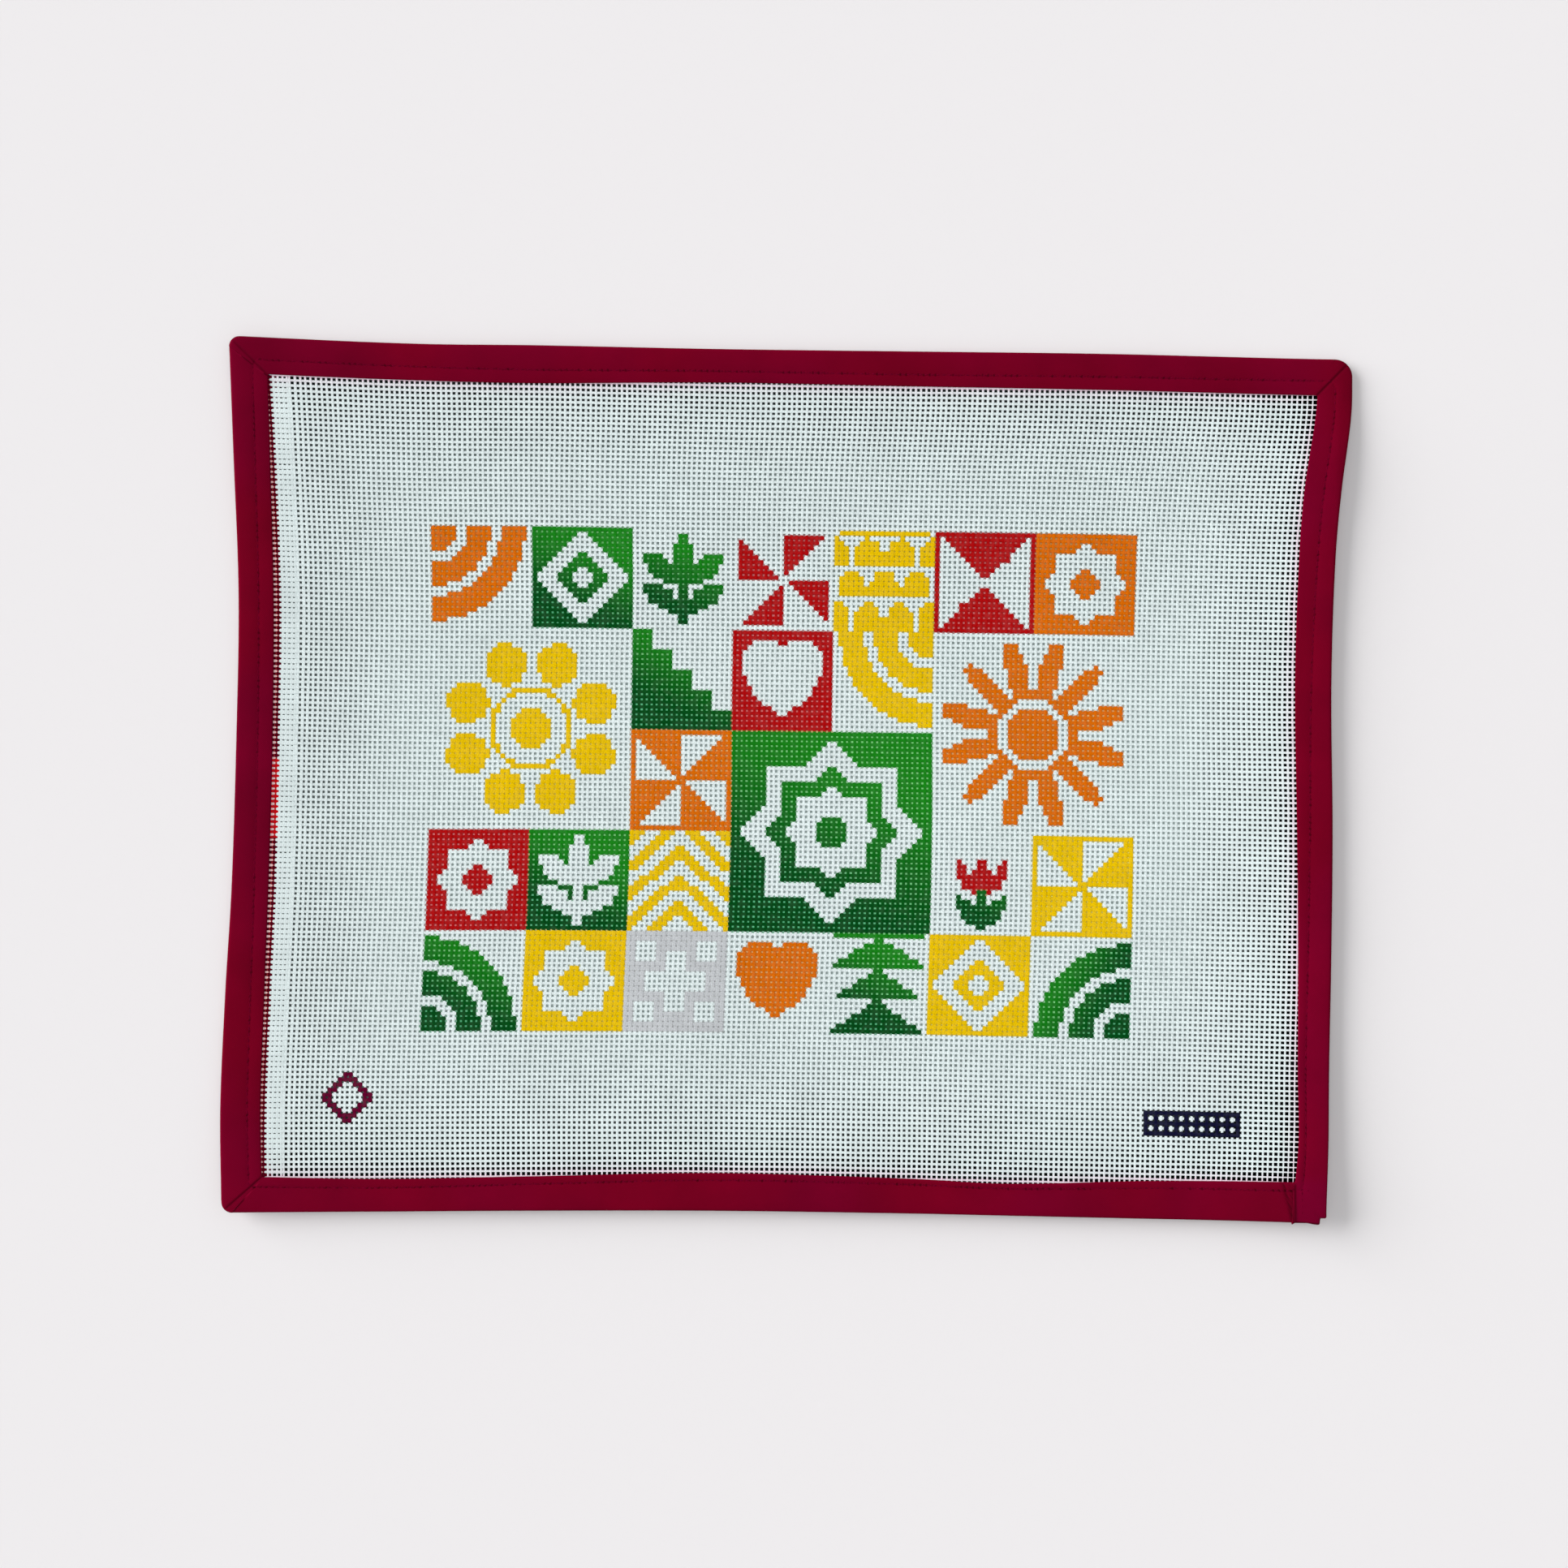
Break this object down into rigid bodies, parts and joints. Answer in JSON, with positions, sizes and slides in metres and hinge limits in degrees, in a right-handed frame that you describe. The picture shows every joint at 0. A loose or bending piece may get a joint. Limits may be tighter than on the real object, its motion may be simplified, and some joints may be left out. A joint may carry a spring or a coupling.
{
  "type": "bound needlepoint canvas panel",
  "caption": "Stiff open-mesh needlepoint canvas with a printed block design, its raw edge bound all round in folded tape with mitred corners.",
  "frame": {"origin": "middle of the panel's outline, on the surface that the canvas lies on", "axes": "+X along the panel's width, +Y up its height as it is read, +Z out of its printed face"},
  "size_m": [0.436, 0.3394, 0.0108],
  "materials": {
    "canvas": "sized cotton, matt, stiff open weave",
    "binding": "maroon cotton tape, close plain weave with a slight sheen"
  },
  "bodies": {
    "root": {"canvas": "canvas", "binding": "binding"}
  },
  "joints": []
}
